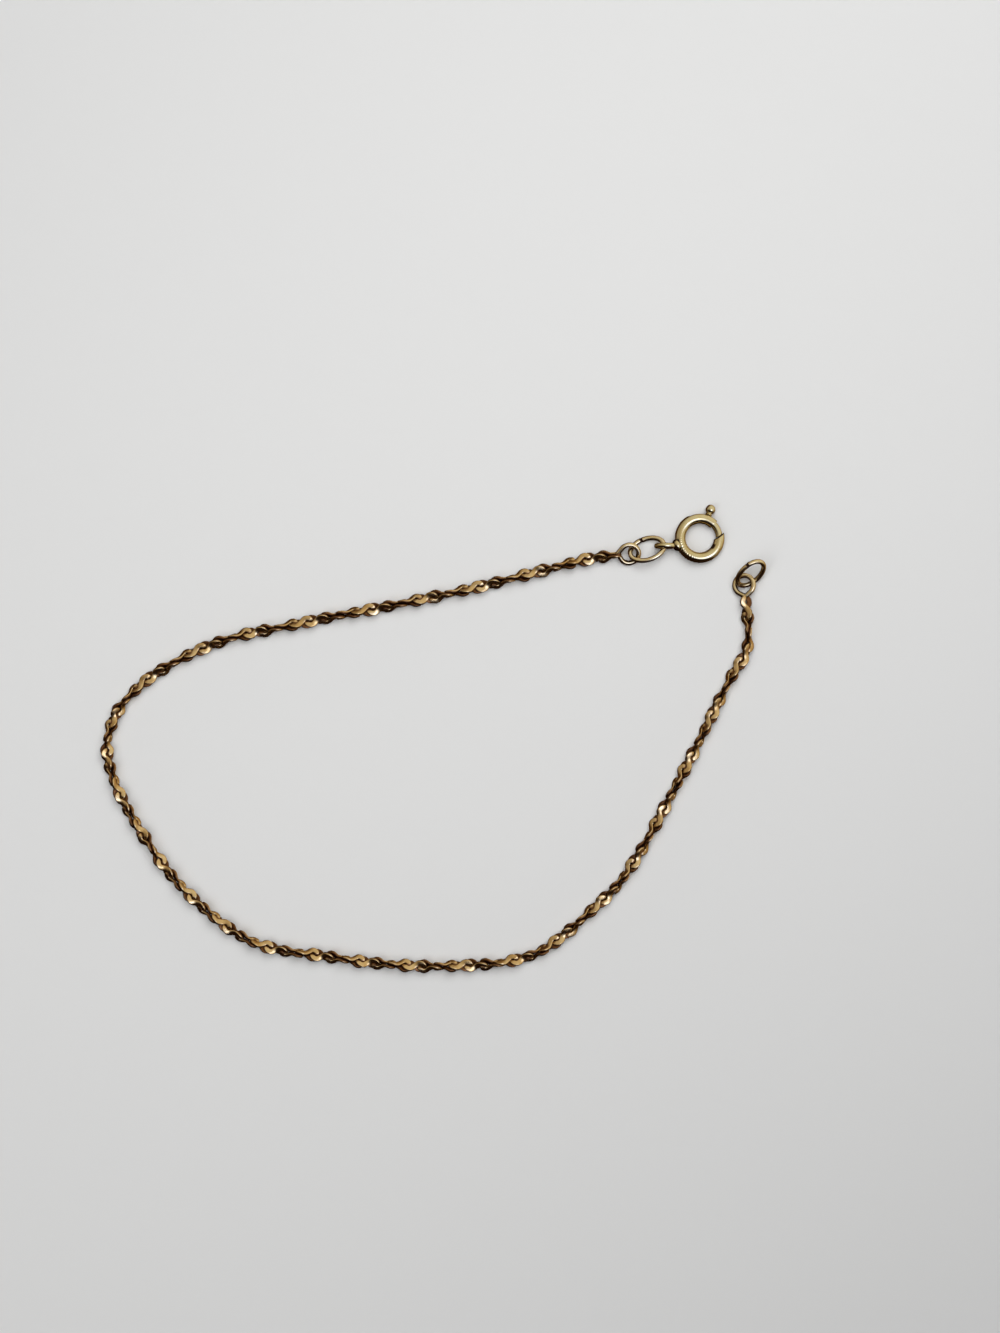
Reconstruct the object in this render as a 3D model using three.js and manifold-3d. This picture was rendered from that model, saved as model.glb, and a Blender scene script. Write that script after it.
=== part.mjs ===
// A fine twisted chain bracelet, unfastened and lying open on a flat surface.
// Millimetres, +Z up. The origin is the middle of its footprint, on the surface it lies on.
import * as THREE from "three";
import * as BufferGeometryUtils from "three/addons/utils/BufferGeometryUtils.js";
import Module from "manifold-3d";

const wasm = await Module();
wasm.setup();

// ---- driving dimensions ----

// The chain is a tube of the outer size of its links.
const chain = {
  diameter: 1.6,
  sides: 8,
  steps: 56,
};

// Middle line of the chain seen from above, from the clasp end to the far end.
const chainRoute = [
  [20.2, 20.48], [17.0, 20.0], [13.5, 19.1], [9.6, 18.1], [5.7, 17.1], [1.8, 16.2], [-2.1, 15.4],
  [-6.0, 14.6], [-9.9, 13.9], [-13.8, 13.1], [-17.7, 12.3], [-21.5, 11.5], [-25.2, 10.2], [-28.8, 8.4],
  [-32.0, 6.2], [-34.6, 3.3], [-35.8, -0.4], [-35.1, -4.2], [-33.4, -7.8], [-31.3, -11.2], [-29.0, -14.5],
  [-26.3, -17.4], [-23.3, -20.0], [-20.0, -22.1], [-16.2, -23.2], [-12.3, -23.7], [-8.3, -24.3],
  [-4.3, -24.7], [-0.3, -24.9], [3.7, -24.8], [7.7, -24.5], [11.5, -23.5], [14.7, -21.4], [17.6, -18.8],
  [20.4, -16.1], [22.6, -13.0], [24.5, -9.7], [26.3, -6.3], [28.1, -2.9], [29.9, 0.6], [31.6, 4.1],
  [33.3, 7.4], [34.7, 9.7], [35.0, 12.0], [34.7, 15.5],
];

// Bolt ring: a hollow ring with a mouth. Angles run counter-clockwise from +X seen from above.
const ring = {
  outerDiameter: 5.5,
  tubeDiameter: 1.16,
  boreDiameter: 0.9,
  mouthAngle: 44,
  lipInner: { radius: 1.5, angle: -6 },
  lipOuter: { radius: 2.78, angle: 13.5 },
  cutRunOut: 0.35,
  slotEndAngle: 118,
  slotHeight: 0.64,
  slotFloor: 0.1,
  slotRunOut: 3,
  arcSteps: 48,
  tubeSides: 16,
  boreSides: 16,
};
const ringRadius = (ring.outerDiameter - ring.tubeDiameter) / 2;

// Loop on edge, soldered a little off square to the outside of the bolt ring.
// Its bearing is the direction of its middle from the ring's, and its angle is its own direction.
const fixedLoop = {
  length: 2.45,
  height: 2.0,
  wire: 0.6,
  bearing: 192.9,
  reach: 3.91,
  angle: 180,
  solderDiameter: 0.9,
  solderBearing: 197.5,
  solderReach: 2.75,
};

// Spring bolt that closes the mouth, with its thumb knob.
const bolt = {
  diameter: 0.76,
  tipAngle: 3,
  tailAngle: 108,
  knobAngle: 69,
  knobReach: 3.38,
  knobDiameter: 1.08,
  neckDiameter: 0.5,
  arcSteps: 20,
  sides: 10,
};

// The clasp lies on its fixed loop and on the ring's far side, so it leans a little.
const clasp = {
  centre: [29.62, 22.38, 0.733],
  leanDegrees: 3.94,
};

// Wire rings. Turns in degrees, applied as yaw about Z, then pitch, then roll about the long axis.
const wireDiameter = 0.54;
const wireSides = 10;
const wireSteps = 40;
const seamGap = 0.06;

const jumpRings = [
  {
    name: "clasp_jump_ring", length: 4.39, width: 3.1, seamAngle: 99,
    centre: [23.81, 21.14, 0.805], yaw: 18.5, pitch: -3.7, roll: -23.4,
  },
  {
    name: "far_jump_ring", length: 4.06, width: 3.11, seamAngle: 65,
    centre: [35.19, 18.44, 1.325], yaw: 48.9, pitch: -23.6, roll: 40.7,
  },
];

const endLoop = { radius: 1.06, halfPointAngle: 55, pointRadius: 0.22 };
const endLoops = [
  { name: "clasp_end_loop", centre: [21.84, 20.63, 0.685], yaw: -0.5, pitch: 6.1, roll: 21.8 },
  { name: "far_end_loop", centre: [34.53, 17.2, 0.637], yaw: 96.9, pitch: 6.7, roll: -18.9 },
];

const chainGold = new THREE.MeshStandardMaterial({ color: 0xc9a06a, roughness: 0.22, metalness: 1 });
const claspGold = new THREE.MeshStandardMaterial({ color: 0xcbb26f, roughness: 0.18, metalness: 1 });

// ---- helpers ----

const radians = THREE.MathUtils.degToRad;

// Round section with a flat side facing each way along both of its axes.
function wireSection(diameter, sides) {
  const cornerRadius = diameter / 2 / Math.cos(Math.PI / sides);
  const corners = [];
  for (let i = 0; i < sides; i += 1) {
    const angle = ((i + 0.5) / sides) * 2 * Math.PI;
    corners.push(new THREE.Vector2(cornerRadius * Math.cos(angle), cornerRadius * Math.sin(angle)));
  }
  return new THREE.Shape(corners);
}

function wireAlong(path, diameter, sides, steps) {
  return new THREE.ExtrudeGeometry(wireSection(diameter, sides), { steps, extrudePath: path });
}

// Oval in the XY plane from startAngle through sweepAngle, long axis on X.
class OvalPath extends THREE.Curve {
  constructor(halfLength, halfWidth, startAngle, sweepAngle) {
    super();
    this.halfLength = halfLength;
    this.halfWidth = halfWidth;
    this.startAngle = startAngle;
    this.sweepAngle = sweepAngle;
  }

  getPoint(t, target = new THREE.Vector3()) {
    const angle = radians(this.startAngle + t * this.sweepAngle);
    return target.set(this.halfLength * Math.cos(angle), this.halfWidth * Math.sin(angle), 0);
  }
}

// ---- joining and cutting ----

function toSolid(geometry) {
  let bare = geometry.index ? geometry.toNonIndexed() : geometry.clone();
  bare.deleteAttribute("normal");
  bare.deleteAttribute("uv");
  bare = BufferGeometryUtils.mergeVertices(bare, 1e-5);
  return new wasm.Manifold(new wasm.Mesh({
    numProp: 3,
    vertProperties: new Float32Array(bare.attributes.position.array),
    triVerts: new Uint32Array(bare.index.array),
  }));
}

function toGeometry(solid) {
  const mesh = solid.getMesh();
  const geometry = new THREE.BufferGeometry();
  geometry.setAttribute("position", new THREE.BufferAttribute(mesh.vertProperties, 3));
  geometry.setIndex(new THREE.BufferAttribute(mesh.triVerts, 1));
  geometry.computeVertexNormals();
  return geometry;
}

// ---- pieces ----

function chainGeometry() {
  const points = chainRoute.map(([x, y]) => new THREE.Vector3(x, y, chain.diameter / 2));
  const path = new THREE.CatmullRomCurve3(points, false, "catmullrom", 0.5);
  return wireAlong(path, chain.diameter, chain.sides, chain.steps);
}

function polar(radius, degrees) {
  return new THREE.Vector2(radius * Math.cos(radians(degrees)), radius * Math.sin(radians(degrees)));
}

// The mouth: one face square to the tube, the other cut on a slant.
function mouthCut() {
  const innerLip = polar(ring.lipInner.radius, ring.lipInner.angle);
  const outerLip = polar(ring.lipOuter.radius, ring.lipOuter.angle);
  const slant = outerLip.clone().sub(innerLip).normalize();
  const outline = new THREE.Shape([
    polar(ring.lipInner.radius - ring.cutRunOut, ring.mouthAngle),
    innerLip.clone().addScaledVector(slant, -ring.cutRunOut),
    outerLip.clone().addScaledVector(slant, ring.cutRunOut),
    polar(ring.lipOuter.radius + ring.cutRunOut, ring.mouthAngle),
  ]);
  const depth = 2 * ring.tubeDiameter;
  const cut = new THREE.ExtrudeGeometry(outline, { depth, bevelEnabled: false });
  return cut.translate(0, 0, -depth / 2);
}

// The slot that the knob's neck slides in, open at the mouth, through the outer wall only.
function slotCut() {
  const from = radians(ring.mouthAngle - ring.slotRunOut);
  const to = radians(ring.slotEndAngle);
  const sector = new THREE.Shape();
  sector.absarc(0, 0, ringRadius + ring.tubeDiameter, from, to, false);
  sector.absarc(0, 0, ringRadius + ring.slotFloor, to, from, true);
  const cut = new THREE.ExtrudeGeometry(sector, {
    depth: ring.slotHeight,
    bevelEnabled: false,
    curveSegments: 16,
  });
  return cut.translate(0, 0, -ring.slotHeight / 2);
}

function fixedLoopGeometry() {
  const halfLength = (fixedLoop.length - fixedLoop.wire) / 2;
  const halfHeight = (fixedLoop.height - fixedLoop.wire) / 2;
  const path = new OvalPath(halfLength, halfHeight, 0, 360);
  const loop = new THREE.TubeGeometry(path, wireSteps, fixedLoop.wire / 2, wireSides, true);
  loop.rotateX(Math.PI / 2);
  loop.rotateZ(radians(fixedLoop.angle));
  const middle = polar(fixedLoop.reach, fixedLoop.bearing);
  return loop.translate(middle.x, middle.y, 0);
}

function claspRingGeometry() {
  const tube = new THREE.TorusGeometry(ringRadius, ring.tubeDiameter / 2, ring.tubeSides, ring.arcSteps);
  const bore = new THREE.TorusGeometry(ringRadius, ring.boreDiameter / 2, ring.boreSides, ring.arcSteps);
  const solder = new THREE.SphereGeometry(fixedLoop.solderDiameter / 2, 12, 8);
  solder.translate(fixedLoop.solderReach, 0, 0);
  solder.rotateZ(radians(fixedLoop.solderBearing));
  const solid = toSolid(tube)
    .add(toSolid(fixedLoopGeometry()))
    .add(toSolid(solder))
    .subtract(toSolid(bore))
    .subtract(toSolid(mouthCut()))
    .subtract(toSolid(slotCut()));
  return toGeometry(solid);
}

function claspBoltGeometry() {
  const path = new OvalPath(ringRadius, ringRadius, bolt.tipAngle, bolt.tailAngle - bolt.tipAngle);
  const rod = wireAlong(path, bolt.diameter, bolt.sides, bolt.arcSteps);
  const neckLength = bolt.knobReach - ringRadius;
  const neck = new THREE.CylinderGeometry(bolt.neckDiameter / 2, bolt.neckDiameter / 2, neckLength, 12);
  neck.rotateZ(-Math.PI / 2);
  neck.translate(ringRadius + neckLength / 2, 0, 0);
  neck.rotateZ(radians(bolt.knobAngle));
  const knob = new THREE.SphereGeometry(bolt.knobDiameter / 2, 16, 12);
  knob.translate(bolt.knobReach, 0, 0);
  knob.rotateZ(radians(bolt.knobAngle));
  return toGeometry(toSolid(rod).add(toSolid(neck)).add(toSolid(knob)));
}

function jumpRingGeometry({ length, width, seamAngle }) {
  const halfLength = (length - wireDiameter) / 2;
  const halfWidth = (width - wireDiameter) / 2;
  const gapAngle = THREE.MathUtils.radToDeg(seamGap / halfWidth);
  const path = new OvalPath(halfLength, halfWidth, seamAngle + gapAngle / 2, 360 - gapAngle);
  return wireAlong(path, wireDiameter, wireSides, wireSteps);
}

// A round loop pulled to a point on -X: a big arc, a small one at the point, and the lines between.
function endLoopGeometry() {
  const half = radians(endLoop.halfPointAngle);
  const pointReach = (endLoop.radius - endLoop.pointRadius) / Math.sin(half);
  const outline = new THREE.Path();
  outline.absarc(0, 0, endLoop.radius, -Math.PI / 2 - half, Math.PI / 2 + half, false);
  outline.absarc(-pointReach, 0, endLoop.pointRadius, Math.PI / 2 + half, 1.5 * Math.PI - half, false);
  outline.closePath();
  const corners = outline.getSpacedPoints(wireSteps).slice(0, -1);
  const path = new THREE.CatmullRomCurve3(corners.map(({ x, y }) => new THREE.Vector3(x, y, 0)), true);
  return new THREE.TubeGeometry(path, wireSteps, wireDiameter / 2, wireSides, true);
}

// ---- assembly ----

const bracelet = new THREE.Group();

function addPiece(parent, name, geometry, material) {
  const mesh = new THREE.Mesh(geometry, material);
  mesh.name = name;
  parent.add(mesh);
  return mesh;
}

function placeRing(mesh, { centre, yaw, pitch, roll }) {
  mesh.position.set(...centre);
  mesh.rotation.set(radians(roll), radians(pitch), radians(yaw), "ZYX");
}

addPiece(bracelet, "chain", chainGeometry(), chainGold);

const claspGroup = new THREE.Group();
const up = new THREE.Vector3(0, 0, 1);
const towardsLoop = new THREE.Vector3(1, 0, 0).applyAxisAngle(up, radians(fixedLoop.bearing));
const leanAxis = towardsLoop.clone().cross(up);
claspGroup.position.set(...clasp.centre);
claspGroup.quaternion.setFromAxisAngle(leanAxis, radians(clasp.leanDegrees));
addPiece(claspGroup, "clasp_ring", claspRingGeometry(), claspGold);
addPiece(claspGroup, "clasp_bolt", claspBoltGeometry(), claspGold);
bracelet.add(claspGroup);

for (const jumpRing of jumpRings) {
  placeRing(addPiece(bracelet, jumpRing.name, jumpRingGeometry(jumpRing), claspGold), jumpRing);
}
for (const loop of endLoops) {
  placeRing(addPiece(bracelet, loop.name, endLoopGeometry(), claspGold), loop);
}

// Bring the middle of the footprint to the origin.
const footprint = new THREE.Box3().setFromObject(bracelet, true).getCenter(new THREE.Vector3());
bracelet.position.set(-footprint.x, -footprint.y, 0);

export default bracelet;
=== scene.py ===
import bpy
import numpy as np
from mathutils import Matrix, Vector


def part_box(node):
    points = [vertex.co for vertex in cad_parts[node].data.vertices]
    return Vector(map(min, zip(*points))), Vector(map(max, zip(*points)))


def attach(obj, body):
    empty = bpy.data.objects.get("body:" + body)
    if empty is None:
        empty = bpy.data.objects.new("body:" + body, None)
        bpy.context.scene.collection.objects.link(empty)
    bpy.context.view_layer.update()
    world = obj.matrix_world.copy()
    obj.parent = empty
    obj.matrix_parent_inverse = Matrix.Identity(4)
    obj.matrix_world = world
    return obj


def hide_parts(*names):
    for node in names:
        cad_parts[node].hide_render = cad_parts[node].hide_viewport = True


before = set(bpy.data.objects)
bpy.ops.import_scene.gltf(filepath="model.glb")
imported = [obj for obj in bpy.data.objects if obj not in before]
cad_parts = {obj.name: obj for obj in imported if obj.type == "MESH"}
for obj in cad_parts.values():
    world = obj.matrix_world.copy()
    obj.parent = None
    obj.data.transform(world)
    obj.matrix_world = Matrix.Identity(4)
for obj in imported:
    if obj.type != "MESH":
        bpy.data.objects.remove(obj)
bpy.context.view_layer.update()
mm = 0.001
scene = bpy.context.scene
braceletBody = "bracelet"
boltBody = "bolt"

# Straight above, with the whole loop in view and its clasp at the upper right.
camera = {
    "aim": (7.43, 8.01),
    "height": 250.0,
    "viewLength": 147.6,
    "sensor": 36.0,
    "clip": (0.01, 10.0),       # metres
}


# The lens takes in the given length at the given height, along the longer side of the view.
def makeCamera(settings):
    data = bpy.data.cameras.new("camera")
    data.sensor_width = settings["sensor"]
    data.lens = settings["sensor"] * settings["height"] / settings["viewLength"]
    data.clip_start, data.clip_end = settings["clip"]
    holder = bpy.data.objects.new("camera", data)
    holder.location = Vector((*settings["aim"], settings["height"])) * mm
    scene.collection.objects.link(holder)
    scene.camera = holder


makeCamera(camera)
print("camera made")


# Vectors divided by their own lengths.
def unit(vectors):
    return vectors / np.linalg.norm(vectors, axis=-1, keepdims=True)


# A turn about one axis: the other two mix by the cosine and the sine of the angle.
def turnMatrix(axis, degrees):
    cosine, sine = np.cos(np.radians(degrees)), np.sin(np.radians(degrees))
    first, second = [i for i in range(3) if i != "xyz".index(axis)]
    if axis == "y":
        sine = -sine
    matrix = np.eye(3)
    matrix[first, first] = matrix[second, second] = cosine
    matrix[first, second], matrix[second, first] = -sine, sine
    return matrix


# Quads between neighbouring points of a grid whose columns run round the surface as seen from its far end.
def gridFaces(rows, columns, closedRows, closedColumns=True):
    row = np.arange(rows if closedRows else rows - 1)[:, None]
    column = np.arange(columns if closedColumns else columns - 1)[None, :]
    nextRow = (row + 1) % rows
    nextColumn = (column + 1) % columns
    corners = (row * columns + column, row * columns + nextColumn,
               nextRow * columns + nextColumn, nextRow * columns + column)
    return np.stack(np.broadcast_arrays(*corners), -1).reshape(-1, 4)


# Each path point carries the section: point = path + side * section x + up * section y.
def carry(path, side, up, section):
    sideways = side[..., None, :] * section[..., 0:1]
    upwards = up[..., None, :] * section[..., 1:2]
    return path[..., None, :] + sideways + upwards


# Wire along a path that lies in the XY plane. Open ends are closed by a fan to their middle.
def wireAlong(plan, section, closed):
    path = np.column_stack([plan, np.zeros(len(plan))])
    if closed:
        along = np.roll(path, -1, axis=0) - np.roll(path, 1, axis=0)
    else:
        along = np.gradient(path, axis=0)
    along = unit(along)
    side = np.stack([-along[:, 1], along[:, 0], np.zeros(len(path))], -1)
    up = np.broadcast_to([0.0, 0.0, 1.0], path.shape)
    grid = carry(path, side, up, section)
    rows, columns = grid.shape[:2]
    points = grid.reshape(-1, 3)
    faces = gridFaces(rows, columns, closed).tolist()
    if not closed:
        points = np.vstack([points, path[:1], path[-1:]])
        here = np.arange(columns)
        there = (here + 1) % columns
        last = (rows - 1) * columns
        startPole, endPole = rows * columns, rows * columns + 1
        faces += np.stack([np.full(columns, startPole), there, here], -1).tolist()
        faces += np.stack([np.full(columns, endPole), last + here, last + there], -1).tolist()
    return points, faces


# A profile of (radius, height) pairs turned about Z, with its first and last points on the axis.
def turned(profile, count):
    angle = np.arange(count) / count * 2 * np.pi
    ring = np.stack([np.cos(angle), np.sin(angle)], -1)
    inner = profile[1:-1]
    rows = len(inner)
    heights = np.broadcast_to(inner[:, None, 1:], (rows, count, 1))
    grid = np.concatenate([inner[:, None, :1] * ring[None], heights], -1)
    points = np.vstack([grid.reshape(-1, 3), [(0, 0, profile[0, 1]), (0, 0, profile[-1, 1])]])
    here = np.arange(count)
    there = (here + 1) % count
    last = (rows - 1) * count
    faces = gridFaces(rows, count, False).tolist()
    faces += np.stack([np.full(count, rows * count), there, here], -1).tolist()
    faces += np.stack([np.full(count, rows * count + 1), last + here, last + there], -1).tolist()
    return points, faces


# Points round a circle, the first and the last half a step from its x axis.
def roundSection(radius, count):
    angle = (np.arange(count) + 0.5) / count * 2 * np.pi
    return np.stack([np.cos(angle), np.sin(angle)], -1) * radius


# Flattened wire: a rectangle with bevelled corners, whose wide sides are a little crowned. The crown has
# dropped by most of its height (crownDrop) at most of the way to the edge (crownReach).
def flatSection(width, thickness, bevel, crown, crownReach=0.85, crownDrop=0.7):
    side = np.asarray(width)[..., None] / 2
    edge = side - bevel
    hold = crownReach * edge
    middle = np.zeros_like(side)
    top, shoulder, step = thickness / 2, thickness / 2 - crownDrop * crown, thickness / 2 - bevel
    rim = thickness / 2 - crown
    x = [side, side, edge, hold, middle, -hold, -edge, -side, -side, -edge, -hold, middle, hold, edge]
    y = np.array([-step, step, rim, shoulder, top, shoulder, rim, step])
    y = np.append(y, -y[1:-1])
    return np.stack(np.broadcast_arrays(np.concatenate(x, -1), y), -1)


# Middle line of a bent wire: each stretch has a length and the angle in degrees that it turns left.
def bendWire(start, heading, stretches, counts):
    place, heading = np.array(start, float), np.radians(heading)
    points = [place[None]]
    for (length, turn), count in zip(stretches, counts):
        share = np.linspace(0, 1, count + 1)[1:]
        middle = heading + np.radians(turn) * share / 2
        chord = length * share * np.sinc(np.radians(turn) * share / (2 * np.pi))
        points.append(place + chord[:, None] * np.stack([np.cos(middle), np.sin(middle)], -1))
        place, heading = points[-1][-1], heading + np.radians(turn)
    return np.vstack(points)


# Joins shapes, each a pair of points and faces, into one.
def joined(*shapes):
    offset, points, faces = 0, [], []
    for shapePoints, shapeFaces in shapes:
        points.append(shapePoints)
        faces += [[corner + offset for corner in face] for face in shapeFaces]
        offset += len(shapePoints)
    return np.vstack(points), faces


# Puts points in millimetres and lists of faces into one object.
def makePiece(name, points, faces, material, marks=None):
    mesh = bpy.data.meshes.new(name)
    mesh.from_pydata((points * mm).tolist(), [], faces)
    for mark, values in (marks or {}).items():
        mesh.attributes.new(mark, "FLOAT", "POINT").data.foreach_set("value", np.ravel(values))
    mesh.shade_smooth()
    mesh.materials.append(material)
    piece = bpy.data.objects.new(name, mesh)
    scene.collection.objects.link(piece)
    return piece


# Names the body that a piece rides and the part's node that it stands for.
def addToFrame(piece, body, node):
    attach(piece, body)
    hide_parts(node)
    print(f"{piece.name} made: {len(piece.data.polygons)} faces")


# A shader socket that takes part in sums, so that 1 - mask adds its own Math node.
class Signal:
    def __init__(self, finish, socket):
        self.finish = finish
        self.socket = socket

    def maths(self, operation, first, second):
        return self.finish.node("ShaderNodeMath", {"operation": operation}, {0: first, 1: second})

    def __add__(self, other):
        return self.maths("ADD", self, other)

    def __radd__(self, other):
        return self.maths("ADD", other, self)

    def __sub__(self, other):
        return self.maths("SUBTRACT", self, other)

    def __rsub__(self, other):
        return self.maths("SUBTRACT", other, self)

    def __mul__(self, other):
        return self.maths("MULTIPLY", self, other)

    def __rmul__(self, other):
        return self.maths("MULTIPLY", other, self)


# The nodes of one material, or of the sky.
class Finish:
    def __init__(self, owner):
        owner.use_nodes = True
        self.tree = owner.node_tree
        self.tree.nodes.clear()

    # One node: its type, its settings, the values or signals of its sockets, and the output wanted.
    def node(self, kind, settings=None, sockets=None, output=0):
        made = self.tree.nodes.new(kind)
        for key, value in (settings or {}).items():
            setattr(made, key, value)
        for key, value in (sockets or {}).items():
            if isinstance(value, Signal):
                self.tree.links.new(value.socket, made.inputs[key])
            else:
                made.inputs[key].default_value = value
        return Signal(self, made.outputs[output]) if made.outputs else None

    def noise(self, place, scale, detail, roughness=0.5, distortion=0.0):
        return self.node("ShaderNodeTexNoise", {}, {
            "Vector": place, "Scale": scale, "Detail": detail, "Roughness": roughness,
            "Distortion": distortion,
        })

    # Eases the stretch from low to high over 0 to 1, and holds the rest.
    def spread(self, value, low, high):
        return self.node("ShaderNodeMapRange", {"interpolation_type": "SMOOTHSTEP"}, {
            0: value, 1: low, 2: high, 3: 0.0, 4: 1.0,
        })

    def mix(self, factor, first, second):
        return self.node("ShaderNodeMix", {"data_type": "RGBA"}, {0: factor, 6: first, 7: second}, 2)


# What the golds have in common. Scales are per metre, and edges are where a noise sets in and is full.
goldGrain = {
    "patches": {"scale": 700.0, "detail": 3.0},
    "patchEdges": (0.35, 0.7),
    "patchRoughness": 0.12,
    "scratches": {"scale": 5200.0, "detail": 4.0, "roughness": 0.7, "distortion": 0.4},
    "scratchTurn": (0.3, 0.2, 0.6),
    "scratchStretch": (1.0, 9.0, 4.0),
    "scratchRoughness": 0.12,
    "scratchDistance": 0.00002,
    "dirtAndShade": {"scale": 2600.0, "detail": 3.0},
    "dirtShare": 0.3,           # how much of the edge of the dirt and painted shade is noise
    "dirtAndShadeEdges": (0.40, 0.85),
    "dirtAndShadeRoughness": 0.12,
}
# Each gold's tarnish colour is both tarnish and painted shade.
chainGold = {
    "fresh": (0.89, 0.65, 0.36, 1.0),
    "worn": (0.78, 0.50, 0.21, 1.0),
    "tarnishAndShade": (0.21, 0.095, 0.04, 1.0),
    "roughness": 0.15,
    "scratchDepth": 0.30,
}
claspGold = {
    "fresh": (0.88, 0.76, 0.48, 1.0),
    "worn": (0.80, 0.63, 0.32, 1.0),
    "tarnishAndShade": (0.07, 0.03, 0.012, 1.0),
    "roughness": 0.07,
    "scratchDepth": 0.15,
}
ringGold = {
    "fresh": (0.95, 0.80, 0.54, 1.0),
    "worn": (0.88, 0.68, 0.39, 1.0),
    "tarnishAndShade": (0.07, 0.03, 0.015, 1.0),
    "roughness": 0.10,
    "scratchDepth": 0.15,
}


# Old gold: worn patches, fine scratches in the flats, and brown tarnish and painted shade where the marks
# say recess.
def makeGold(name, settings):
    material = bpy.data.materials.new(name)
    finish = Finish(material)
    place = finish.node("ShaderNodeTexCoord", output="Object")
    patches = finish.spread(finish.noise(place, **goldGrain["patches"]), *goldGrain["patchEdges"])
    stretched = finish.node("ShaderNodeMapping", {}, {
        "Vector": place, "Rotation": goldGrain["scratchTurn"], "Scale": goldGrain["scratchStretch"],
    })
    scratches = finish.noise(stretched, **goldGrain["scratches"])
    # Painted shade: the recess marks darken hollows, grooves and joins with the tarnish colour, standing
    # for tarnish and for the shade there.
    recess = finish.node("ShaderNodeAttribute", {"attribute_name": "recess"}, output="Fac")
    ragged = recess + goldGrain["dirtShare"] * finish.noise(place, **goldGrain["dirtAndShade"])
    dirtAndShade = finish.spread(ragged, *goldGrain["dirtAndShadeEdges"])
    metal = finish.mix(patches, settings["fresh"], settings["worn"])
    colour = finish.mix(dirtAndShade, metal, settings["tarnishAndShade"])
    roughness = (settings["roughness"] + goldGrain["patchRoughness"] * patches
                 + goldGrain["scratchRoughness"] * (scratches - 0.5) + goldGrain["dirtAndShadeRoughness"] * dirtAndShade)
    bump = finish.node("ShaderNodeBump", {}, {
        "Strength": settings["scratchDepth"], "Distance": goldGrain["scratchDistance"],
        "Height": scratches,
    })
    shader = finish.node("ShaderNodeBsdfPrincipled", {}, {
        "Base Color": colour, "Metallic": 1.0, "Roughness": roughness, "Normal": bump,
    })
    finish.node("ShaderNodeOutputMaterial", {}, {"Surface": shader})
    return material


chainFinish = makeGold("chainGold", chainGold)
claspFinish = makeGold("claspGold", claspGold)
ringFinish = makeGold("ringGold", ringGold)
print("gold made")

# Middle line of the chain seen from above, from the clasp end to the far end.
chainRoute = [
    (20.2, 20.48), (17.0, 20.0), (13.5, 19.1), (9.6, 18.1), (5.7, 17.1), (1.8, 16.2), (-2.1, 15.4),
    (-6.0, 14.6), (-9.9, 13.9), (-13.8, 13.1), (-17.7, 12.3), (-21.5, 11.5), (-25.2, 10.2), (-28.8, 8.4),
    (-32.0, 6.2), (-34.6, 3.3), (-35.8, -0.4), (-35.1, -4.2), (-33.4, -7.8), (-31.3, -11.2),
    (-29.0, -14.5), (-26.3, -17.4), (-23.3, -20.0), (-20.0, -22.1), (-16.2, -23.2), (-12.3, -23.7),
    (-8.3, -24.3), (-4.3, -24.7), (-0.3, -24.9), (3.7, -24.8), (7.7, -24.5), (11.5, -23.5),
    (14.7, -21.4), (17.6, -18.8), (20.4, -16.1), (22.6, -13.0), (24.5, -9.7), (26.3, -6.3),
    (28.1, -2.9), (29.9, 0.6), (31.6, 4.1), (33.3, 7.4), (34.7, 9.7), (35.0, 12.0), (34.7, 15.5),
]

chain = {
    "pitch": 1.714,             # from eye to eye
    "reach": 0.25,              # how far a link's wire goes past the middle of an eye
    "crossing": 45.0,           # degrees, slope of the strand in the middle of a link
    "shoulder": -15.0,          # degrees, heading where the wide bend gives way to the tight one
    "tightRadius": 0.43,
    "layer": 0.185,             # from the middle plane to the front or the back strand
    "dropLength": 0.26,         # how much wire it takes to change layer
    "wireWidth": 0.53,
    "turnWidth": 0.47,
    "wireThickness": 0.35,
    "bevel": 0.05,
    "crown": 0.02,
    "quarterSteps": (3, 7, 7),
    "twistEase": 0.7,           # how much of the twist is kept between the eyes
    "height": 0.78,
    "rollSpread": 5.0,          # degrees that a link strays from the even twist
    "seed": 5,
    "tarnishAndShadeDepth": (0.01, 0.18),  # how far below the outer face tarnish and painted shade set in, and over what depth
    # painted shade in the middle of each eye, where the grooves meet
    "eyeShade": 0.7,
    "eyeRadius": 0.34,
    "routeSteps": 24,           # points to a stretch of the route
}

# Distance along the chain in millimetres of eyes counted from the clasp end: slack and tight stretches.
eyePlaces = [
    (-0.3, -2), (1.4, -1), (3.1, 0), (10.0, 4), (34.5, 18), (41.4, 22), (55.3, 30), (64.8, 36),
    (73.4, 41), (92.3, 52), (119.6, 68), (143.7, 82), (162.1, 93), (167.3, 96), (169.1, 97),
]

# Distances along the chain where it stands on edge, half a turn apart.
edgePlaces = [
    -0.1, 6.2, 11.8, 18.4, 24.0, 30.9, 37.8, 43.4, 50.0, 57.0, 61.5, 66.1, 71.1, 75.3, 80.0, 84.8,
    89.8, 95.6, 100.9, 105.9, 111.7, 117.4, 122.6, 128.5, 134.5, 140.2, 146.5, 152.7, 158.8, 165.6,
    171.8,
]


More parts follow.
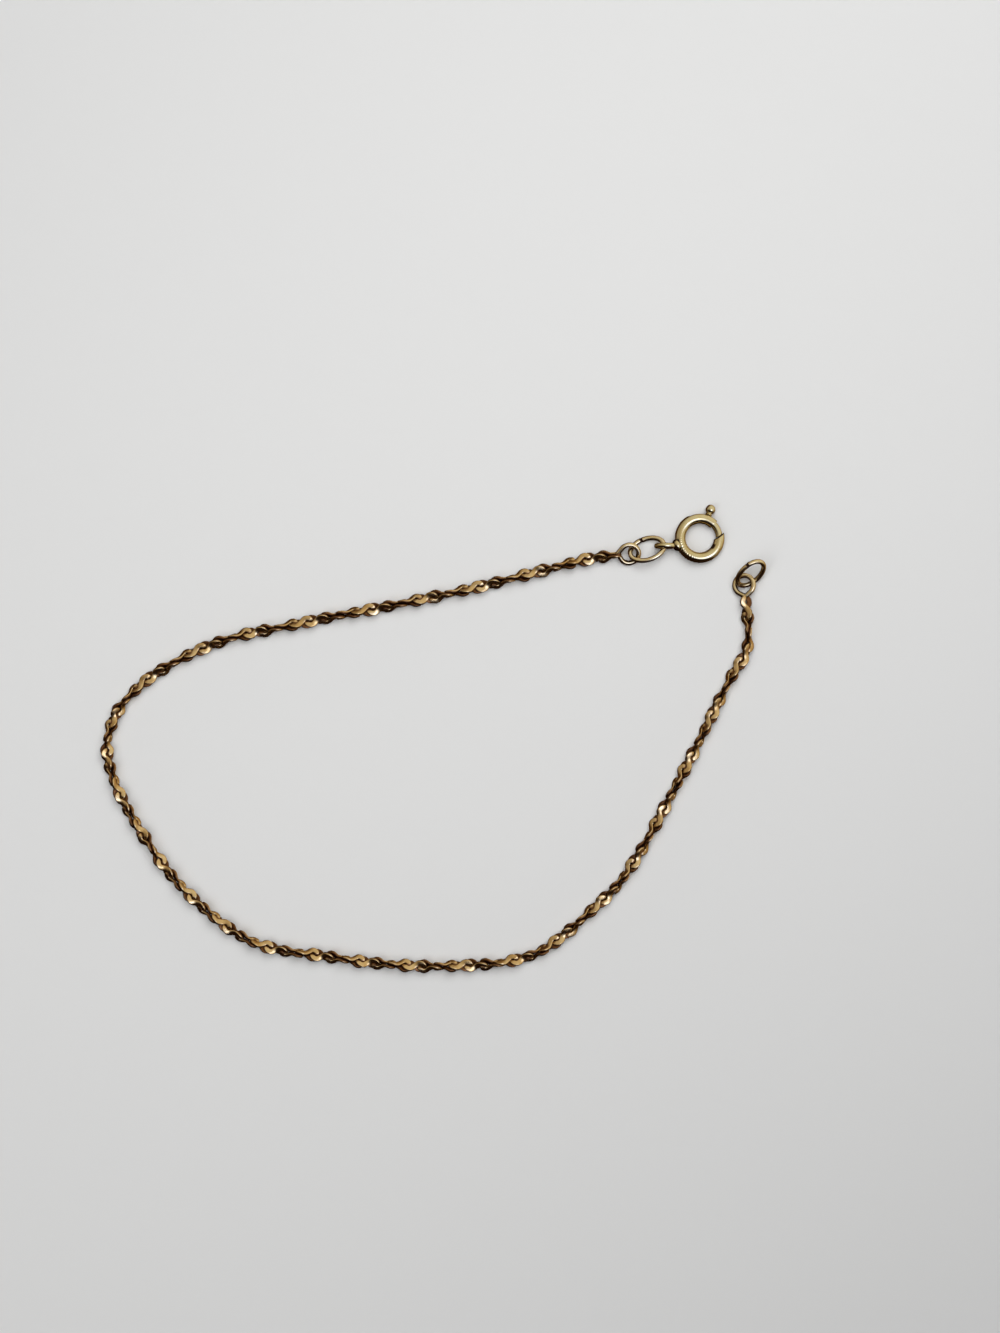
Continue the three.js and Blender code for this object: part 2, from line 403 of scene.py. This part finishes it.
# Uniform Catmull-Rom curve through the points, as the CAD tube's.
def smoothRoute(points, steps):
    points = np.array(points)
    padded = np.vstack([2 * points[0] - points[1], points, 2 * points[-1] - points[-2]])
    before, start, end, after = padded[:-3, None], padded[1:-2, None], padded[2:-1, None], padded[3:, None]
    t = np.linspace(0, 1, steps, endpoint=False)[None, :, None]
    slopeIn, slopeOut = (end - before) / 2, (after - start) / 2
    curve = ((2 * t**3 - 3 * t**2 + 1) * start + (t**3 - 2 * t**2 + t) * slopeIn
             + (3 * t**2 - 2 * t**3) * end + (t**3 - t**2) * slopeOut)
    return np.vstack([curve.reshape(-1, 2), points[-1:]])


route = smoothRoute(chainRoute, chain["routeSteps"])
chainLow, chainHigh = (np.array(corner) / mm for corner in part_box("chain"))
shift = (chainLow + chainHigh)[:2] / 2 - (route.min(0) + route.max(0)) / 2
route = route + shift
routeLength = np.append(0, np.cumsum(np.linalg.norm(np.diff(route, axis=0), axis=1)))
routeAlong = unit(np.gradient(route, routeLength, axis=0))
print(f"route made: {routeLength[-1]:.1f} mm long")


# Place and left-hand direction of the route at distances along it, straight on past both ends.
def routeAt(distance):
    held = np.clip(distance, 0, routeLength[-1])
    place = np.stack([np.interp(held, routeLength, route[:, axis]) for axis in (0, 1)], -1)
    along = unit(np.stack([np.interp(held, routeLength, routeAlong[:, axis]) for axis in (0, 1)], -1))
    place = place + along * (distance - held)[..., None]
    left = np.stack([-along[..., 1], along[..., 0]], -1)
    return place, left


# Quarter of a link's wire, from its middle to the turn in the right-hand eye: a straight, a wide bend
# and a tight one that ends across the chain, while the wire drops from the front layer to the middle.
# The straight's length and the wide bend's radius are what makes it end on the chain's middle line.
def quarterPath(settings):
    crossing, shoulder = np.radians(settings["crossing"]), np.radians(settings["shoulder"])
    tight = settings["tightRadius"]
    far = settings["pitch"] / 2 + settings["reach"]
    sums = [[np.cos(crossing), np.sin(crossing) - np.sin(shoulder)],
            [np.sin(crossing), np.cos(shoulder) - np.cos(crossing)]]
    straight, wide = np.linalg.solve(sums, [far - tight * (np.sin(shoulder) + 1), tight * np.cos(shoulder)])
    stretches = [
        (straight, 0),
        (wide * (crossing - shoulder), settings["shoulder"] - settings["crossing"]),
        (tight * (shoulder + np.pi / 2), -90 - settings["shoulder"]),
    ]
    plan = bendWire((0, 0), settings["crossing"], stretches, settings["quarterSteps"])
    run = np.append(0, np.cumsum(np.linalg.norm(np.diff(plan, axis=0), axis=1)))
    drop = np.clip((run[-1] - run) / settings["dropLength"], 0, 1)
    height = settings["layer"] * np.sin(drop * np.pi / 2)
    width = settings["turnWidth"] + (settings["wireWidth"] - settings["turnWidth"]) * drop
    return np.column_stack([plan, height]), width


# A link is its quarter path turned half a turn about each of its axes, so front and back are alike.
def linkShape(settings):
    quarter, width = quarterPath(settings)
    half = np.vstack([quarter, quarter[-2::-1] * (1, -1, -1)])
    ring = np.vstack([half, half[-2:0:-1] * (-1, -1, 1)])
    width = np.append(width, width[-2::-1])
    width = np.append(width, width[-2:0:-1])
    along = unit(np.roll(ring, -1, axis=0) - np.roll(ring, 1, axis=0))
    side = unit(np.stack([-along[:, 1], along[:, 0], np.zeros(len(ring))], -1))
    section = flatSection(width, settings["wireThickness"], settings["bevel"], settings["crown"])
    return carry(ring, side, np.cross(along, side), section)


# All the links in one piece. Each is stretched from one eye to the next along the route, and turned
# about the route by the twist where it is, with a little roll of its own.
def makeChain(settings):
    link = linkShape(settings)
    distance, number = np.array(eyePlaces).T
    eyes = np.interp(np.arange(number[0], number[-1] + 1), number, distance)
    left, right = eyes[:-1, None, None], eyes[1:, None, None]

    # x along the link becomes distance along the route, and the twist is slow at the eyes
    share = link[..., 0] / settings["pitch"] + 0.5
    distance = left + (right - left) * share
    ease = settings["twistEase"] / (2 * np.pi) * np.sin(2 * np.pi * share)
    twistPlace = left + (right - left) * (share - ease)
    turns = np.interp(twistPlace, edgePlaces, np.arange(len(edgePlaces)))
    random = np.random.RandomState(settings["seed"])
    roll = random.normal(0, settings["rollSpread"], (len(eyes) - 1, 1, 1))
    angle = np.pi * (turns + 0.5) + np.radians(roll)
    place, leftward = routeAt(distance)
    across = link[..., 1] * np.cos(angle) - link[..., 2] * np.sin(angle)
    rise = link[..., 1] * np.sin(angle) + link[..., 2] * np.cos(angle)
    height = settings["height"] + rise
    points = np.concatenate([place + leftward * across[..., None], height[..., None]], -1)

    links, rows, columns = points.shape[:3]
    faces = gridFaces(rows, columns, True) + (np.arange(links) * rows * columns)[:, None, None]

    # tarnish and painted shade lie below the outer faces, and painted shade in the eyes
    skin, depth = settings["tarnishAndShadeDepth"]
    outer = settings["layer"] + settings["wireThickness"] / 2
    below = (outer - skin - np.abs(link[..., 2])) / depth
    fromEye = np.hypot(settings["pitch"] / 2 - np.abs(link[..., 0]), link[..., 1])
    inEye = settings["eyeShade"] * np.clip(1 - fromEye / settings["eyeRadius"], 0, 1)
    recess = np.broadcast_to(np.clip(below + inEye, 0, 1), (links, rows, columns))
    piece = makePiece("chainLinks", points.reshape(-1, 3), faces.reshape(-1, 4).tolist(), chainFinish,
                      {"recess": recess})
    addToFrame(piece, braceletBody, "chain")


makeChain(chain)

# Wire of the jump rings and the end loops.
# The last two set where painted shade begins on the wire's inner side, and how fast it grows.
wire = {"diameter": 0.54, "sides": 16, "unshadedTo": 0.3, "shadeSpread": 0.5}

jumpRings = [
    {
        "name": "claspJumpRing", "node": "clasp_jump_ring", "length": 4.39, "width": 3.1, "seamAngle": 99,
        "centre": (23.81, 21.14, 0.805), "yaw": 18.5, "pitch": -3.7, "roll": -23.4,
    },
    {
        "name": "farJumpRing", "node": "far_jump_ring", "length": 4.06, "width": 3.11, "seamAngle": 65,
        "centre": (35.19, 18.44, 1.325), "yaw": 48.9, "pitch": -23.6, "roll": 40.7,
    },
]
seam = {
    "gap": 0.012, "offset": 0.05, "bevel": 0.035, "bevelShare": 0.003, "steps": 120,
    "offsetFade": 12.0,             # how soon the wire is back in its ring's plane
    # dirt at the cut, and painted shade on the inner side of the wire
    "dirtShare": 0.012, "inwardShade": 0.5,
}

endLoop = {"radius": 1.06, "halfPointAngle": 55.0, "pointRadius": 0.22, "steps": (5, 8, 64, 8, 5)}
endLoops = [
    {
        "name": "claspEndLoop", "node": "clasp_end_loop",
        "centre": (21.84, 20.63, 0.685), "yaw": -0.5, "pitch": 6.1, "roll": 21.8,
    },
    {
        "name": "farEndLoop", "node": "far_end_loop",
        "centre": (34.53, 17.2, 0.637), "yaw": 96.9, "pitch": 6.7, "roll": -18.9,
    },
]


# Rolls, pitches and yaws points, then carries them to a centre given in the route's own frame.
def placed(points, settings):
    turn = (turnMatrix("z", settings["yaw"]) @ turnMatrix("y", settings["pitch"])
            @ turnMatrix("x", settings["roll"]))
    return points @ turn.T + np.append(shift, 0) + settings["centre"]


# Painted shade on the side of a round wire that faces into its ring: 1 there, 0 outside, row by row.
def inwardMarks(rows):
    inward = roundSection(1.0, wire["sides"])[:, 0]
    return np.tile(np.clip((inward - wire["unshadedTo"]) / wire["shadeSpread"], 0, 1), (rows, 1))


# An oval of wire whose bevelled ends meet at the seam, one a little above the other.
def makeJumpRing(settings):
    halfLength = (settings["length"] - wire["diameter"]) / 2
    halfWidth = (settings["width"] - wire["diameter"]) / 2
    gap = seam["gap"] / halfWidth
    share = np.linspace(0, 1, seam["steps"])
    share = np.concatenate([[0, seam["bevelShare"]], share[1:-1], [1 - seam["bevelShare"], 1]])
    angle = np.radians(settings["seamAngle"]) + gap / 2 + share * (2 * np.pi - gap)
    plan = np.stack([halfLength * np.cos(angle), halfWidth * np.sin(angle)], -1)
    ends = np.ones(len(share))
    ends[[0, -1]] = 1 - seam["bevel"] * 2 / wire["diameter"]
    section = roundSection(wire["diameter"] / 2, wire["sides"]) * ends[:, None, None]
    points, faces = wireAlong(plan, section, False)
    rows = len(plan) * wire["sides"]
    fade = np.exp(-share * seam["offsetFade"]) - np.exp((share - 1) * seam["offsetFade"])
    lift = np.repeat(fade, wire["sides"]) * seam["offset"] / 2
    points[:rows, 2] += lift
    points[rows:, 2] += (lift[0], lift[-1])
    fromCut = np.minimum(share, 1 - share)[:, None]
    # painted shade on the inner side of the wire, and dirt at the cut
    marks = np.maximum(seam["inwardShade"] * inwardMarks(len(plan)), fromCut < seam["dirtShare"])
    marks = np.append(marks, [1, 1])
    piece = makePiece(settings["name"], placed(points, settings), faces, ringFinish, {"recess": marks})
    addToFrame(piece, braceletBody, settings["node"])


# A round loop pulled to a point on -X: a big arc, two straights and a small arc at the point.
def makeEndLoop(settings):
    big, small, half = endLoop["radius"], endLoop["pointRadius"], endLoop["halfPointAngle"]
    straight = (big - small) / np.tan(np.radians(half))
    pointTurn = 90 - half
    stretches = [
        (small * np.radians(pointTurn), pointTurn), (straight, 0),
        (big * np.radians(180 + 2 * half), 180 + 2 * half),
        (straight, 0), (small * np.radians(pointTurn), pointTurn),
    ]
    start = -(big - small) / np.sin(np.radians(half)) - small
    plan = bendWire((start, 0), -90, stretches, endLoop["steps"])[:-1]
    points, faces = wireAlong(plan, roundSection(wire["diameter"] / 2, wire["sides"]), True)
    # painted shade on the side of the wire that faces into the loop
    piece = makePiece(settings["name"], placed(points, settings), faces, ringFinish,
                      {"recess": inwardMarks(len(plan))})
    addToFrame(piece, braceletBody, settings["node"])


for ringSettings in jumpRings:
    makeJumpRing(ringSettings)
for loopSettings in endLoops:
    makeEndLoop(loopSettings)

# The clasp: where it lies, then its ring, the loop at its back, their solder, and its bolt. Reaches are
# from the ring's middle, and angles and bearings are in degrees about it.
clasp = {"centre": (29.62, 22.38, 0.733), "lean": 3.94, "leanBearing": 192.9}
boltRing = {
    "radius": 2.17,
    "tube": 0.58,
    "bore": 0.45,
    "mouthAngle": 44.0,
    "endInner": (1.5, -6.0),        # radius and angle of the slanted end's inner lip
    "endOuter": (2.78, 13.5),
    "slotHalf": 0.32,
    "slotEnd": 118.0,
    "slotRound": 8.0,
    "hairline": 0.006,
    "aroundSteps": 30,
    "lipRows": (0, 0.8, 2.0, 4.0),          # past the mouth
    "slotRows": (8.0, 3.0, 12),             # past the mouth, short of the slot's round end, and how many
    "slotEndRows": 14,
    "backRows": (2.0, 354.0, 200),          # past the slot, up to, and how many
    "endRows": (357.0, 358.5, 359.4, 360.0),
    "lipTurnIn": 0.05,              # share by which the tube narrows at its lips
    "lipFlare": 0.012,              # and by how much its bore widens
    "lipSpread": 1.2,
    "fileMarks": (215.0, 22.0),     # middle and spread in degrees
    "fileDepth": 0.03,
    "filePitch": 6.5,
    "fileDrift": (0.2, 5.0),        # how far the pitch wanders, and over how many degrees
    "seamDirt": 0.10,
    "darkPatch": (-33.0, 11.0, 1.98),   # a dark patch on the inner wall: angle, spread and outer reach
    "markEdge": 0.2,
    "solderSpread": 10.0,
    "solderFrom": 0.1,              # how far outside the tube's middle the solder's dirt and painted shade begin
}
fixedLoop = {
    "length": 2.5, "height": 2.0, "wire": 0.6, "bearing": 192.9, "reach": 3.91, "angle": 180.0,
    "steps": 64, "sides": 16, "shadeReach": 3.15, "shadeSpread": 0.25,
}
solder = {
    "diameter": 1.35, "squash": 0.72, "bearing": 197.5, "reach": 2.66, "steps": 25, "sides": 32,
    "dirtAndShade": 1.5, "shadeFall": 3.2,   # painted shade low down, none above the middle
}
bolt = {
    "diameter": 0.76, "tip": 3.0, "tail": 108.0, "knobAngle": 69.0, "knobReach": 3.38,
    "knobDiameter": 1.08, "neckDiameter": 0.60, "collarDiameter": 0.78, "collarReach": 2.78,
    "knobDirt": 0.3, "rodSteps": 60, "rodSides": 20, "neckSteps": 9, "ballSteps": 24, "knobSides": 32,
}


# Turns about the clasp's long axis so that it lies on its fixed loop, then carries it to its centre.
def placedClasp(points):
    across = turnMatrix("z", clasp["leanBearing"])
    turn = across @ turnMatrix("y", -clasp["lean"]) @ across.T
    return points @ turn.T + np.append(shift, 0) + clasp["centre"]


# Angle of the tube's slanted end at a distance from the ring's middle, even between its two lips.
def seamSlant(reach, settings):
    (innerReach, innerAngle), (outerReach, outerAngle) = settings["endInner"], settings["endOuter"]
    return innerAngle + (reach - innerReach) / (outerReach - innerReach) * (outerAngle - innerAngle)


# How dark old dirt is near the slanted end: 1 up to half the dirt's width from it, then falling to 0.
def seamMark(reach, angle, settings):
    gap = np.abs(np.radians(angle - seamSlant(reach, settings))) * reach
    return np.clip(1.5 - gap / settings["seamDirt"], 0, 1)


# The hollow ring: its C-shaped section goes round the tube from one lip of the slot to the other and
# back along the bore, and is carried from the mouth to the slanted end. The slot narrows to a hairline.
def ringShape(settings):
    mouth, slotEnd, slotRound = settings["mouthAngle"], settings["slotEnd"], settings["slotRound"]
    pastMouth, shortOfRound, slotRows = settings["slotRows"]
    pastSlot, backEnd, backRows = settings["backRows"]
    rows = np.concatenate([
        mouth + np.array(settings["lipRows"]),
        np.linspace(mouth + pastMouth, slotEnd - slotRound - shortOfRound, slotRows),
        slotEnd - slotRound + np.linspace(0, slotRound, settings["slotEndRows"]),
        np.linspace(slotEnd + pastSlot, backEnd, backRows),
        settings["endRows"],
    ])
    fromEnd = np.clip((rows - slotEnd + slotRound) / slotRound, 0, 1)
    slotHalf = np.maximum(settings["slotHalf"] * np.sqrt(1 - fromEnd**2), settings["hairline"])[:, None]
    share = np.linspace(0, 1, settings["aroundSteps"])
    lip = np.minimum(rows - rows[0], rows[-1] - rows)[:, None]

    # file marks: round ridges with sharp grooves between them, strongest in the middle of the patch
    fileMiddle, fileSpread = settings["fileMarks"]
    drift, driftSpread = settings["fileDrift"]
    rough = np.exp(-((rows - fileMiddle) / fileSpread)**2)
    stroke = rows / settings["filePitch"] + drift * np.sin(rows / driftSpread)
    ridges = settings["fileDepth"] * (rough * (1 - 2 * np.abs(np.sin(np.pi * stroke))))[:, None]

    def circle(radius, direction):
        opening = np.arcsin(slotHalf / radius)
        turn = opening + (share[::direction]) * (2 * np.pi - 2 * opening)
        return np.pi + turn

    outerTurn, boreTurn = circle(settings["tube"], 1), circle(settings["bore"], -1)
    nearLip = np.exp(-lip / settings["lipSpread"])
    outer = settings["tube"] * (1 - settings["lipTurnIn"] * nearLip) + ridges
    bore = settings["bore"] + settings["lipFlare"] * nearLip
    turn = np.concatenate([outerTurn, boreTurn], 1)
    radius = np.concatenate([np.broadcast_to(outer, outerTurn.shape),
                             np.broadcast_to(bore, boreTurn.shape)], 1)
    reach = settings["radius"] - radius * np.cos(turn)
    along = (rows[:, None] - mouth) / (360 - mouth)
    angle = np.radians(mouth + along * (360 + seamSlant(reach, settings) - mouth))
    grid = np.stack([reach * np.cos(angle), reach * np.sin(angle), radius * np.sin(turn)], -1)
    count, columns = grid.shape[:2]
    degrees = np.degrees(angle)
    darkPatchAngle, darkPatchSpread, darkPatchReach = settings["darkPatch"]
    # Painted shade: the whole bore inside the hollow tube takes the dark colour.
    inBore = np.arange(columns) >= settings["aroundSteps"]
    marks = np.maximum(seamMark(reach, degrees - 360, settings), inBore)
    # a patch of the inner wall near the slanted end is darkened
    darkPatchMark = (np.exp(-((degrees - 360 - darkPatchAngle) / darkPatchSpread)**4)
               * np.clip((darkPatchReach - reach) / settings["markEdge"], 0, 1))
    # dirt and painted shade on the outer wall where the solder and loop join
    outside = reach - settings["radius"] - settings["solderFrom"]
    solderDirtAndShade = (np.exp(-((degrees - fixedLoop["bearing"]) / settings["solderSpread"])**4)
                * np.clip(outside / settings["markEdge"], 0, 1))
    marks = np.maximum(marks, np.maximum(darkPatchMark, solderDirtAndShade))
    faces = gridFaces(count, columns, False).tolist()
    step = np.arange(settings["aroundSteps"] - 1)
    partner = columns - 1 - step
    cap = np.stack([step, partner, partner - 1, step + 1], -1)
    faces += cap.tolist()
    faces += (cap[:, ::-1] + (count - 1) * columns).tolist()
    return grid.reshape(-1, 3), faces, marks.ravel()


# The loop on edge: an oval of wire stood up on the clasp's long axis.
def fixedLoopShape(settings):
    angle = np.arange(settings["steps"]) / settings["steps"] * 2 * np.pi
    halfLength = (settings["length"] - settings["wire"]) / 2
    halfHeight = (settings["height"] - settings["wire"]) / 2
    plan = np.stack([halfLength * np.cos(angle), halfHeight * np.sin(angle)], -1)
    points, faces = wireAlong(plan, roundSection(settings["wire"] / 2, settings["sides"]), True)
    points = points @ turnMatrix("x", 90).T @ turnMatrix("z", settings["angle"] - settings["bearing"]).T
    # painted shade on the loop where it goes into the ring
    towardsRing = settings["shadeReach"] - settings["reach"] - points[:, 0]
    marks = np.clip(towardsRing / settings["shadeSpread"], 0, 1)
    return (points + (settings["reach"], 0, 0)) @ turnMatrix("z", settings["bearing"]).T, faces, marks


# The blob of solder between ring and loop: a ball that is flattened along its bearing.
def solderShape(settings):
    turn = np.radians(np.linspace(-90, 90, settings["steps"]))
    profile = np.stack([np.cos(turn), settings["squash"] * np.sin(turn)], -1) * settings["diameter"] / 2
    points, faces = turned(profile, settings["sides"])
    points = points @ turnMatrix("y", 90).T + (settings["reach"], 0, 0)
    # painted shade: the ball is darker the lower down it is
    marks = np.clip(settings["dirtAndShade"] - settings["shadeFall"] * points[:, 2] / settings["diameter"], 0, 1)
    return points @ turnMatrix("z", settings["bearing"]).T, faces, marks


# The ring, the loop at its back and the solder between them are one piece.
def makeBoltRing():
    shapes = [ringShape(boltRing), fixedLoopShape(fixedLoop), solderShape(solder)]
    points, faces = joined(*(shape[:2] for shape in shapes))
    marks = np.concatenate([shape[2] for shape in shapes])
    piece = makePiece("boltRing", placedClasp(points), faces, claspFinish, {"recess": marks})
    addToFrame(piece, braceletBody, "clasp_ring")


# The bolt, with a knob on a waisted neck whose foot spreads over the slot.
def makeBolt(settings):
    angle = np.radians(np.linspace(settings["tip"], settings["tail"], settings["rodSteps"]))
    plan = boltRing["radius"] * np.stack([np.cos(angle), np.sin(angle)], -1)
    rod = wireAlong(plan, roundSection(settings["diameter"] / 2, settings["rodSides"]), False)
    reach = settings["knobReach"]
    ball = settings["knobDiameter"] / 2
    neck = settings["neckDiameter"] / 2
    collar = settings["collarDiameter"] / 2
    foot = settings["collarReach"]
    join = reach - np.sqrt(ball**2 - neck**2)
    rise = np.linspace(0, 1, settings["neckSteps"])
    waist = np.stack([collar + (neck - collar) * np.sin(rise * np.pi / 2), foot + (join - foot) * rise], -1)
    turn = np.linspace(np.arcsin(neck / ball), np.pi, settings["ballSteps"])[1:]
    sphere = np.stack([ball * np.sin(turn), reach - ball * np.cos(turn)], -1)
    stem = [(0, boltRing["radius"]), (neck, boltRing["radius"]), (neck, foot)]
    knob, knobFaces = turned(np.vstack([stem, waist, sphere]), settings["knobSides"])
    knob = knob @ turnMatrix("y", 90).T @ turnMatrix("z", settings["knobAngle"]).T
    points, faces = joined(rod, (knob, knobFaces))
    bearing = np.degrees(np.arctan2(points[:, 1], points[:, 0]))
    marks = seamMark(np.hypot(points[:, 0], points[:, 1]), bearing, boltRing)
    marks[len(rod[0]):] *= settings["knobDirt"]
    piece = makePiece("boltAndKnob", placedClasp(points), faces, claspFinish, {"recess": marks})
    addToFrame(piece, boltBody, "clasp_bolt")


makeBoltRing()
makeBolt(bolt)

floorSettings = {
    "halfSize": 3000.0, "steps": 60, "flatTo": 1500.0, "bend": 3500.0,
    "colour": (0.72, 0.72, 0.715, 1.0), "roughness": 0.7, "specular": 0.2,
    "dark": (0.0, 0.0, 0.0, 1.0), "glow": (0.48, 0.48, 0.472, 1.0),
    "glowFrom": 0.08, "glowTo": 0.37,       # metres from the middle
}
sky = {
    "room": (0.36, 0.32, 0.24, 1.0),
    "ground": (0.06, 0.03, 0.012, 1.0),
    "groundEdges": (0.25, -0.1),            # heights of a direction between which room turns to ground
    "patches": [
        {"bearing": 30, "offZenith": 100, "inner": 10, "outer": 85, "colour": (0.38, 0.27, 0.12, 1.0)},
        {"bearing": 41, "offZenith": 54, "inner": 8, "outer": 82, "colour": (0.65, 0.62, 0.50, 1.0)},
        {"bearing": -54, "offZenith": 32, "inner": 21, "outer": 31, "colour": (1.25, 1.4, 1.9, 1.0)},
        {"bearing": -54, "offZenith": 30, "inner": 8, "outer": 17, "colour": (3.4, 3.8, 4.8, 1.0)},
        {"bearing": 251, "offZenith": 84, "inner": 50, "outer": 84, "colour": (0.012, 0.005, 0.002, 1.0)},
    ],
}
lamps = {
    "overheadLamp": {"place": (0, 20, 420), "aim": (0, 20, 0), "size": (300, 300), "watts": 0.19},
    "northLamp": {"place": (50, 110, 210), "aim": (20, 45, 0), "size": (200, 200), "watts": 0.45},
    "westLamp": {"place": (-120, -75, 210), "aim": (-50, -30, 0), "size": (200, 200), "watts": 0.25},
}


# A sheet that is flat around the chain and sweeps up far away, where its height is the square of the
# distance beyond the flat, over the bend. Past the lamps' reach it glows, to stay pale up to the horizon.
def makeFloor(settings):
    material = bpy.data.materials.new("paleFloor")
    finish = Finish(material)
    place = finish.node("ShaderNodeTexCoord", output="Object")
    away = finish.node("ShaderNodeVectorMath", {"operation": "LENGTH"}, {0: place}, "Value")
    far = finish.spread(away, settings["glowFrom"], settings["glowTo"])
    shader = finish.node("ShaderNodeBsdfPrincipled", {}, {
        "Base Color": settings["colour"], "Roughness": settings["roughness"],
        "Specular IOR Level": settings["specular"],
        "Emission Color": finish.mix(far, settings["dark"], settings["glow"]), "Emission Strength": 1.0,
    })
    finish.node("ShaderNodeOutputMaterial", {}, {"Surface": shader})
    line = np.linspace(-settings["halfSize"], settings["halfSize"], settings["steps"] + 1)
    east, north = np.meshgrid(line, line)
    beyond = np.clip(np.hypot(east, north) - settings["flatTo"], 0, None)
    points = np.stack([east, north, beyond**2 / settings["bend"]], -1).reshape(-1, 3)
    faces = gridFaces(len(line), len(line), False, False).tolist()
    floor = makePiece("floor", points, faces, material)
    floor.visible_glossy = False        # the sky gives the metal its ground, so that its edges stay dark


# A room that only the metal sees: warm walls over a dark ground, then one round patch of directions
# after another. A patch has its full colour within its inner angle, and fades out at its outer one.
def makeSky(settings):
    world = bpy.data.worlds.new("sky")
    scene.world = world
    finish = Finish(world)
    direction = finish.node("ShaderNodeTexCoord", output="Generated")
    east, north, height = (finish.node("ShaderNodeSeparateXYZ", {}, {0: direction}, i) for i in range(3))
    below = finish.spread(height, *settings["groundEdges"])
    colour = finish.mix(below, settings["room"], settings["ground"])
    for patch in settings["patches"]:
        bearing, down = np.radians(patch["bearing"]), np.radians(patch["offZenith"])
        towards = (east * float(np.sin(down) * np.cos(bearing))
                   + north * float(np.sin(down) * np.sin(bearing)) + height * float(np.cos(down)))
        inner, outer = (float(np.cos(np.radians(patch[edge]))) for edge in ("inner", "outer"))
        colour = finish.mix(finish.spread(towards, outer, inner), colour, patch["colour"])
    glow = finish.node("ShaderNodeBackground", {}, {"Color": colour, "Strength": 1.0})
    finish.node("ShaderNodeOutputWorld", {}, {"Surface": glow})
    world.cycles_visibility.diffuse = False     # the lamps light the floor


# Lamps that light the floor, and are neither seen nor mirrored in the metal.
def makeLamp(name, settings):
    data = bpy.data.lights.new(name, "AREA")
    data.shape = "RECTANGLE"
    data.size, data.size_y = settings["size"][0] * mm, settings["size"][1] * mm
    data.energy = settings["watts"]
    lamp = bpy.data.objects.new(name, data)
    place, aim = Vector(settings["place"]), Vector(settings["aim"])
    lamp.location = place * mm
    lamp.rotation_euler = (aim - place).to_track_quat("-Z", "Y").to_euler()
    lamp.visible_camera = False
    lamp.visible_glossy = False
    scene.collection.objects.link(lamp)


makeFloor(floorSettings)
makeSky(sky)
for lampName, lampSettings in lamps.items():
    makeLamp(lampName, lampSettings)
scene.view_settings.view_transform = "Standard"
print("floor and light made")
